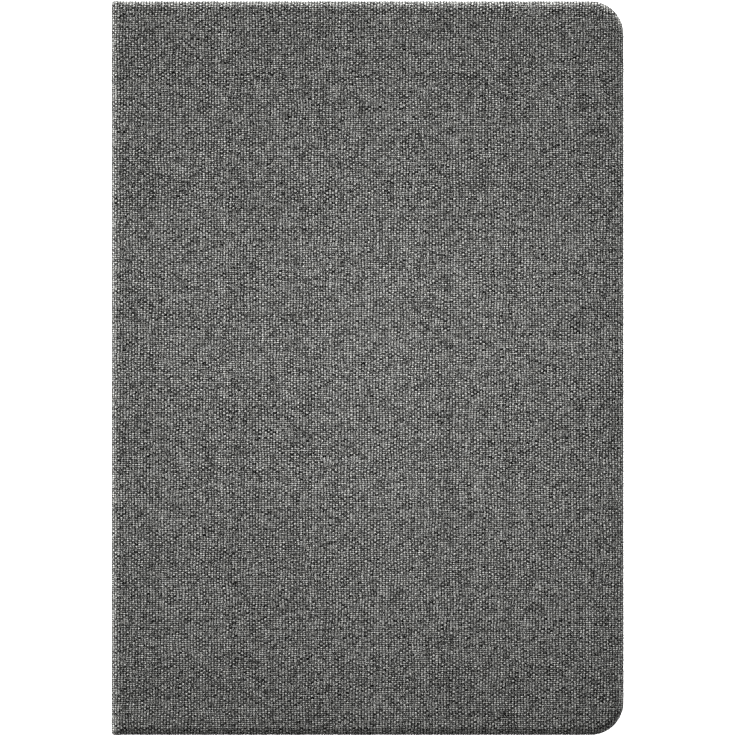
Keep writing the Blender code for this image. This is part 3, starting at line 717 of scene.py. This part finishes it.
def cover_cloth(name, up, edge, width, windows=()):
    """One cover's fabric, with its crease and its half of the spine.

    up is 1 for the front cover and -1 for the back. edge is the radius of its wrapped edge and
    width how far that goes round. windows are outlines of its openings.
    """
    cloth = Cloth()
    face_z = TOP if up > 0 else 0.0
    down = (0.0, -up)
    stations = bend_stations(up, edge, width, face_z)
    rows = []
    for place in stations:
        last = Y_END - place.reach
        inner = last - EDGE_ROW
        ys = [-last] + spread(-inner, inner, 40) + [last]
        rows.append([cloth.vert((place.x, y, place.z), (place.u, y)) for y in ys])
    cloth.strips(rows)

    # The rail along which the wrapped edge starts: +Y side, round the free edge, to the -Y side
    rail = [(row[-1], (0, 1), *place[3:]) for row, place in zip(rows, stations)]
    loop, inset_loop = [], []
    for x, y, out in free_path(stations[-1].x, edge):
        inset = (x - out[0] * EDGE_ROW, y - out[1] * EDGE_ROW)
        loop.append(cloth.vert((x, y, face_z), (x, y)))
        inset_loop.append(cloth.vert((*inset, face_z), inset))
        rail.append((loop[-1], out, down, edge, edge, width))
    rail += [(row[0], (0, -1), *place[3:]) for row, place in reversed(list(zip(rows, stations)))]

    first = rows[-1]
    cloth.strips([[first[-1]] + loop + [first[0]], [first[-2]] + inset_loop + [first[1]]])
    openings = [window_rail(cloth, points, face_z, down) for points in windows]
    cloth.fill(first[1:-1] + inset_loop, *(outer_loop for outer_loop, _ in openings))
    wrap(cloth, rail, closed=False)
    for _, hole_rail in openings:
        wrap(cloth, hole_rail, closed=True)

    bmesh.ops.recalc_face_normals(cloth.bm, faces=cloth.bm.faces)
    level = [f for f in cloth.bm.faces if abs(f.normal.z) > 0.99]
    if sum(f.normal.z * f.calc_area() for f in level) * up < 0:
        bmesh.ops.reverse_faces(cloth.bm, faces=cloth.bm.faces)
    obj = finish_mesh(cloth.bm, name, HEATHER, MICROFIBRE, smooth=60)
    solid = obj.modifiers.new("thickness", "SOLIDIFY")
    solid.thickness = 0.55 * MM
    solid.offset = -1.0
    solid.use_even_offset = True
    solid.thickness_clamp = 0.9
    solid.material_offset = 1
    solid.material_offset_rim = 0
    apply_modifiers(obj)
    return obj


# The stand's opening, counterclockwise, with a slot at each end of the hinge and a finger notch.
# The points along its straight sides keep the cloth's triangles short
STAND_WINDOW = [
    (-8.0, 104.0), (-8.0, 100.0), (-30.0, 100.0), (-55.0, 100.0), (-76.0, 100.0),
    (-76.0, 60.0), (-76.0, 10.0), (-81.5, 10.0), (-81.5, 0.0), (-81.5, -10.0), (-76.0, -10.0),
    (-76.0, -60.0), (-76.0, -100.0), (-55.0, -100.0), (-30.0, -100.0), (-8.0, -100.0),
    (-8.0, -104.0), (0.0, -104.0), (0.0, -70.0), (0.0, -35.0), (0.0, 0.0), (0.0, 35.0),
    (0.0, 70.0), (0.0, 104.0),
]


def make_covers():
    front = cover_cloth("cover_cloth", 1, 2.8, 3.0)
    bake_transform(front)
    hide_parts("cover_fabric", "front_crease", "spine_fabric")

    camera_window = circle(CAMERA_X, CAMERA_Y, 8.5, 48)
    back = cover_cloth("back_cloth", -1, 2.0, 2.2, [eased(STAND_WINDOW), camera_window])
    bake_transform(back)
    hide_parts("back_cover_fabric", "rear_crease")


# ---------------------------------------------------------------- back: tray, bezel, buttons, stand
def make_tray():
    solid = Solid()
    outer, cavity = (-87.6, 90.0, -127.8, 127.8), (-86.15, 88.55, -125.6, 125.6)
    mouth = (-83.65, 86.05, -123.1, 123.1)
    lip_z = 12.1
    bottom = solid.rings(outer, 9.5, [(1.2, TRAY_UNDER)] + fillet(0.6, TRAY_UNDER, 1))
    side = solid.rings(outer, 9.5, fillet(0.7, TRAY_TOP, -1)[::-1] + [(1.2, TRAY_TOP)])
    solid.strips([bottom[-1], side[0]], closed=True)
    lip = solid.rings(mouth, 4.0, [
        (-0.9, TRAY_TOP), (-0.35, TRAY_TOP), (-0.1, 12.9), (0.0, 12.65), (0.0, 12.3), (-0.2, lip_z),
    ])
    solid.strips([side[-1], lip[0]], closed=True)
    # A small bead at the foot of the wall goes over the lining's rim
    bead_r = 0.8
    bead = [(bead_r - inset, z) for inset, z in fillet(bead_r, TRAY_BED, 1)[::-1]]
    wall_levels = [(0.0, lip_z), (0.0, TRAY_BED + bead_r)] + bead + [(1.4, TRAY_BED)]
    wall = solid.rings(cavity, 8.0, wall_levels)
    solid.strips([lip[-1], wall[0]], closed=True)
    solid.fill(wall[-1])
    solid.fill(bottom[0])
    tray = solid.done("tray", GRAPHITE)

    # Openings for the charging plug, the volume rocker, the power button and the camera
    tools = [
        slot_tool((-7, -131, 5.6), (7, -125, 11.2), 1.4),
        slot_tool((88.0, 72.1, 6.2), (92.0, 95.9, 9.8), 1.0),
        slot_tool((57.7, 125.0, 6.2), (70.3, 131.0, 9.8), 1.0),
        drill_tool(CAMERA_X, CAMERA_Y, 3, 6.6, 64),
    ]
    # Five sound slots on each side of the plug
    for side_x in (-1, 1):
        for k in range(5):
            x = side_x * (30 + 4.5 * k)
            tools.append(slot_tool((x - 1.1, -131, 6.8), (x + 1.1, -125, 9.2), 0.9))
    cut(tray, *tools)
    fixed(tray, "back", "graphite_plastic", "tablet_tray")


def make_buttons():
    """The camera's bezel, the volume rocker with its raised marks, and the power button."""
    profile = [
        (6.6, 2.4), (6.6, 1.3), (6.75, 0.55), (7.05, 0.2), (7.4, 0.1),
        (7.75, 0.12), (8.0, 0.24), (8.15, 0.5), (8.2, 0.9), (8.2, 2.4),
    ]
    bezel = revolve("camera_ring", CAMERA_X, CAMERA_Y, profile, GRAPHITE)
    fixed(bezel, "back", "graphite_plastic", "camera_bezel")
    rocker = soft_box("volume_keys", (88.9, 72.5, 6.55), (90.4, 95.5, 9.45), 0.45, GRAPHITE, 4)
    fixed(rocker, "volume_rocker", "graphite_plastic", "volume_rocker")
    mark_z, up_y, down_y = 8.0, 91.5, 76.5
    marks = (
        ("volume_up_mark", up_y, 1.0, 0.175),
        ("volume_down_mark", down_y, 1.0, 0.175),
        ("volume_up_stroke", up_y, 0.17, 1.0),
    )
    for name, y, half_y, half_z in marks:
        low, high = (90.2, y - half_y, mark_z - half_z), (90.52, y + half_y, mark_z + half_z)
        fixed(soft_box(name, low, high, 0.08, GRAPHITE, 2), "volume_rocker", "graphite_plastic")
    power = soft_box("power_key", (58.1, 126.0, 6.55), (69.9, 128.4, 9.45), 0.45, GRAPHITE, 4)
    fixed(power, "power_button", "graphite_plastic", "power_button")


def make_stand():
    """The stand's fabric: a shallow dish round the stand plate."""
    solid = Solid()
    box = (-75.85, -3.3, -99.85, 99.85)
    r, r_hinge = 5.0, 0.3
    outside_levels = [(1.1, 0.0)] + fillet(0.55, 0.0, 1) + [(0.0, 2.2), (0.08, 2.35)]
    outside = solid.rings(box, r, outside_levels, r_hinge)
    inside = solid.rings(box, r, [(0.16, 2.3), (0.16, 0.62)], r_hinge)
    solid.strips([outside[-1], inside[0]], closed=True)
    solid.fill(outside[0])
    solid.fill(inside[-1])
    cloth = solid.done("stand_cloth", HEATHER)
    fixed(cloth, "stand", "heather_fabric", "stand_fabric")


def make_spine():
    pad = soft_box("spine_pad", (-90.0, -129.2, 3.55), (-88.15, 129.2, 17.45), 0.75, MICROFIBRE, 4)
    fixed(pad, "spine", "microfibre_lining", "spine_lining", "spine_board")


# ---------------------------------------------------------------- keyboard
COLUMNS, PITCH, KEY_GAP = 14.5, 16.5, 2.6
SHORTCUT_X, SHORTCUT_DEPTH = -79.5, 8.5
ROW_START = (COLUMNS * PITCH - KEY_GAP) / 2
FIRST_ROW = SHORTCUT_X + SHORTCUT_DEPTH + KEY_GAP
LETTER, PAIR, WORD = 4.6, 3.1, 2.7  # heights of the legends
LEGEND_Z, LEGEND_HALF = 13.535, 0.045
# Keys face -Z when the case is closed, and the tops of their legends point to -X
READ = Matrix(((0, -1, 0), (-1, 0, 0), (0, 0, -1))).to_4x4()
ARROWS = {"left": 90, "right": -90, "up": 0, "down": 180}


def letter_row(letters):
    return [(f"key_{c}", 1.0, c.upper(), LETTER) for c in letters]


def key_plan():
    """Every key as (body, x low, x high, y low, y high, legend, legend size)."""
    keys = []
    labels = ["esc"] + [f"F{k}" for k in range(1, 13)] + ["lock"]
    pitch = COLUMNS * PITCH / len(labels)
    for k, label in enumerate(labels):
        y = ROW_START - k * pitch
        low = y - pitch + KEY_GAP
        keys.append(("shortcut_keys", SHORTCUT_X, SHORTCUT_X + SHORTCUT_DEPTH, low, y, label, WORD))

    # Rows of (body, width in pitches, legend, legend size)
    left, right, bottom, number = "left_side_keys", "right_side_keys", "bottom_keys", "number_keys"
    signs = zip("~!@#$%^&*()_+", "`1234567890-=")
    bottom_row = (
        ("fn", 1.0), ("ctrl", 1.0), ("alt", 1.0), ("cmd", 1.25), ("", 5.0),
        ("cmd", 1.25), ("alt", 1.0), ("left", 1.0), ("updown", 1.0), ("right", 1.0),
    )
    rows = (
        [(number, 1.0, a + "\n" + b, PAIR) for a, b in signs] + [(number, 1.5, "delete", WORD)],
        [(left, 1.5, "tab", WORD)] + letter_row("qwertyuiop")
        + [(right, 1.0, t, PAIR) for t in ("{\n[", "}\n]", "|\n\\")],
        [(left, 1.75, "caps lock", WORD)] + letter_row("asdfghjkl")
        + [(right, 1.0, t, PAIR) for t in (":\n;", "\"\n'")] + [(right, 1.75, "return", WORD)],
        [(left, 2.25, "shift", WORD)] + letter_row("zxcvbnm")
        + [(right, 1.0, t, PAIR) for t in ("<\n,", ">\n.", "?\n/")] + [(right, 2.25, "shift", WORD)],
        [(bottom, width, t, WORD) for t, width in bottom_row],
    )
    depth = PITCH - KEY_GAP
    half = (depth - 1.0) / 2
    for row, items in enumerate(rows):
        x = FIRST_ROW + row * PITCH
        y = ROW_START
        for body, width, label, size in items:
            low = y - width * PITCH + KEY_GAP
            if label == "updown":
                keys.append((body, x, x + half, low, y, "up", size))
                keys.append((body, x + depth - half, x + depth, low, y, "down", size))
            else:
                keys.append((body, x, x + depth, low, y, label, size))
            y = low - KEY_GAP
    return keys


def add_cap(solid, x0, x1, y0, y1):
    """One cap: dished face at the low side, rounded edges, tapered sides, and a flange."""
    half = min(x1 - x0, y1 - y0) / 2
    profile = (
        (half * 0.72, 0.085), (half * 0.45, 0.06), (1.5, 0.02), (1.15, 0.0), (0.85, 0.03),
        (0.62, 0.13), (0.5, 0.35), (0.12, 1.7), (0.0, 2.4),
    )
    rows = solid.rings((x0, x1, y0, y1), 1.9, [(inset, KEY_FACE + depth) for inset, depth in profile])
    flange_box = (x0 - 0.7, x1 + 0.7, y0 - 0.7, y1 + 0.7)
    flange = solid.rings(flange_box, 1.2, [(0.0, KEY_FACE + 2.45), (0.0, KEY_FACE + 2.75)])
    solid.strips([rows[-1], flange[0]], closed=True)
    solid.face(*rows[0])
    solid.face(*flange[-1])


def text_mesh(body, size, x, y):
    curve = bpy.data.curves.new("legend", "FONT")
    curve.body = body
    curve.size = size * MM
    curve.extrude = LEGEND_HALF * MM
    curve.align_x, curve.align_y = "CENTER", "CENTER"
    curve.space_line = 0.85
    curve.resolution_u = 3
    obj = bpy.data.objects.new("legend", curve)
    COLLECTION.objects.link(obj)
    mesh = evaluated_mesh(obj)
    bpy.data.objects.remove(obj)
    bpy.data.curves.remove(curve)
    mesh.transform(Matrix.Translation(Vector((x, y, LEGEND_Z)) * MM) @ READ)
    # A text's faces and its sides aren't joined, so they are merged here
    bm = bmesh.new()
    bm.from_mesh(mesh)
    bmesh.ops.remove_doubles(bm, verts=bm.verts, dist=0.001 * MM)
    bmesh.ops.dissolve_degenerate(bm, edges=bm.edges, dist=0.001 * MM)
    bm.to_mesh(mesh)
    bm.free()
    return mesh


def arrow_mesh(label, x, y):
    """A flat triangle that points along its label's direction."""
    bm = bmesh.new()
    turn = Matrix.Rotation(math.radians(ARROWS[label]), 4, "Z")
    low, high = [], []
    for px, py in ((-1.15, -0.75), (1.15, -0.75), (0, 1.0)):
        for made, level in ((low, -LEGEND_HALF), (high, LEGEND_HALF)):
            made.append(bm.verts.new((turn @ Vector((px, py, level))) * MM))
    bm.faces.new(high)
    bm.faces.new(low[::-1])
    for k in range(3):
        n = (k + 1) % 3
        bm.faces.new((low[k], low[n], high[n], high[k]))
    mesh = bpy.data.meshes.new("arrow")
    bm.to_mesh(mesh)
    bm.free()
    mesh.transform(Matrix.Translation(Vector((x, y, LEGEND_Z)) * MM) @ READ)
    return mesh


def make_keys():
    """One piece for each body of keys: its caps, and their legends as a second material."""
    plan = key_plan()
    for body in dict.fromkeys(key[0] for key in plan):
        solid = Solid()
        legends = []
        for _, x0, x1, y0, y1, label, size in (key for key in plan if key[0] == body):
            add_cap(solid, x0, x1, y0, y1)
            x, y = (x0 + x1) / 2, (y0 + y1) / 2
            if label in ARROWS:
                legends.append(arrow_mesh(label, x, y))
            elif label:
                legends.append(text_mesh(label, size, x, y))
        bmesh.ops.recalc_face_normals(solid.bm, faces=solid.bm.faces)
        for mesh in legends:
            before = len(solid.bm.faces)
            solid.bm.from_mesh(mesh)
            solid.bm.faces.ensure_lookup_table()
            for face in solid.bm.faces[before:]:
                face.material_index = 1
            bpy.data.meshes.remove(mesh)
        name = body + ("_cap" if body.startswith("key_") else "_caps")
        keys = finish_mesh(solid.bm, name, KEYCAP, LEGEND, smooth=40)
        fixed(keys, body, "keycap_plastic", body)


def make_deck():
    """The deck's shell, with a well for the keys, one for the trackpad, and cut-outs."""
    solid = Solid()
    box, r_spine, r_free = (-86.9, 89.8, -129.05, 129.05), 2.0, 10.75
    key_well, trackpad_well = (-81.1, 13.1, -120.225, 120.225), (21.7, 82.3, -52.3, 52.3)
    shell = [(1.3, DECK_FACE)] + fillet(0.8, DECK_FACE, 1, 5)
    shell += [(0.0, DECK_TOP), (1.5, DECK_TOP), (1.5, DECK_INSIDE), (2.2, DECK_INSIDE)]
    face = solid.rings(box, r_spine, shell, r_free)

    def well(area, r, edge_r):
        """The rings of an opening, from the face, round its edge and down to the inside."""
        edge = [(-inset, z) for inset, z in fillet(edge_r, DECK_FACE, 1)]
        return solid.rings(area, r, [(-1.1, DECK_FACE)] + edge + [(0.0, DECK_INSIDE), (-0.6, DECK_INSIDE)])

    wells = well(key_well, 2.0, 0.5), well(trackpad_well, 2.6, 0.45)
    for end in (0, -1):
        solid.fill(face[end], *(rows[end] for rows in wells))
    deck = solid.done("keyboard_deck_shell", DECK)

    # The charging socket, the power switch's slot and the status light's hole
    port_x, port_half = 42.5, 4.9
    cut(
        deck,
        slot_tool((port_x - port_half, -131, 14.1), (port_x + port_half, -120.2, 17.5), 1.2),
        slot_tool((58.4, -131, 15.9), (64.5, -127.2, 17.5), 0.5),
        drill_tool(70, -118, DECK_FACE, 1.0, 32),
    )
    fixed(deck, "keyboard_cover", "graphite_plastic", "keyboard_deck")


def make_trackpad():
    solid = Solid()
    plate, flange_box, r, face_z = (22.0, 82.0, -52.0, 52.0), (21.0, 83.0, -53.0, 53.0), 2.4, 13.6
    levels = [(1.4, face_z), (0.75, face_z)] + fillet(0.25, face_z, 1, 3) + [(0.0, 15.9)]
    rows = solid.rings(plate, r, levels)
    flange = solid.rings(flange_box, r, [(0.0, 15.95), (0.0, 16.6)])
    solid.strips([rows[-1], flange[0]], closed=True)
    solid.fill(rows[0])
    solid.fill(flange[-1])
    fixed(solid.done("trackpad_plate", TRACKPAD), "trackpad", "graphite_plastic", "trackpad")


def make_switch():
    switch = soft_box("power_slider", (58.75, -129.3, 16.25), (61.65, -126.6, 17.15), 0.25, KEYCAP)
    fixed(switch, "power_switch", "graphite_plastic", "power_switch")


def make_bumpers():
    """Four rubber strips on the deck's face that keep the keys off the tablet."""
    half_x, half_y, face_z = 1.1, 7.0, 13.12
    for k, (x, y) in enumerate(((84.6, 100.0), (84.6, -100.0), (-84.0, 100.0), (-84.0, -100.0))):
        solid = Solid()
        box = (x - half_x, x + half_x, y - half_y, y + half_y)
        rows = solid.rings(box, 1.05, [(0.5, face_z)] + fillet(0.2, face_z, 1, 3) + [(0.0, 13.55)])
        solid.face(*rows[0])
        solid.face(*rows[-1])
        fixed(solid.done(f"bumper_{k + 1}", RUBBER), "keyboard_cover", "silicone_rubber")


make_camera()
make_lights()
make_floor()
finish_cad_nodes()
make_covers()
make_tray()
make_buttons()
make_stand()
make_spine()
make_keys()
make_deck()
make_trackpad()
make_switch()
make_bumpers()
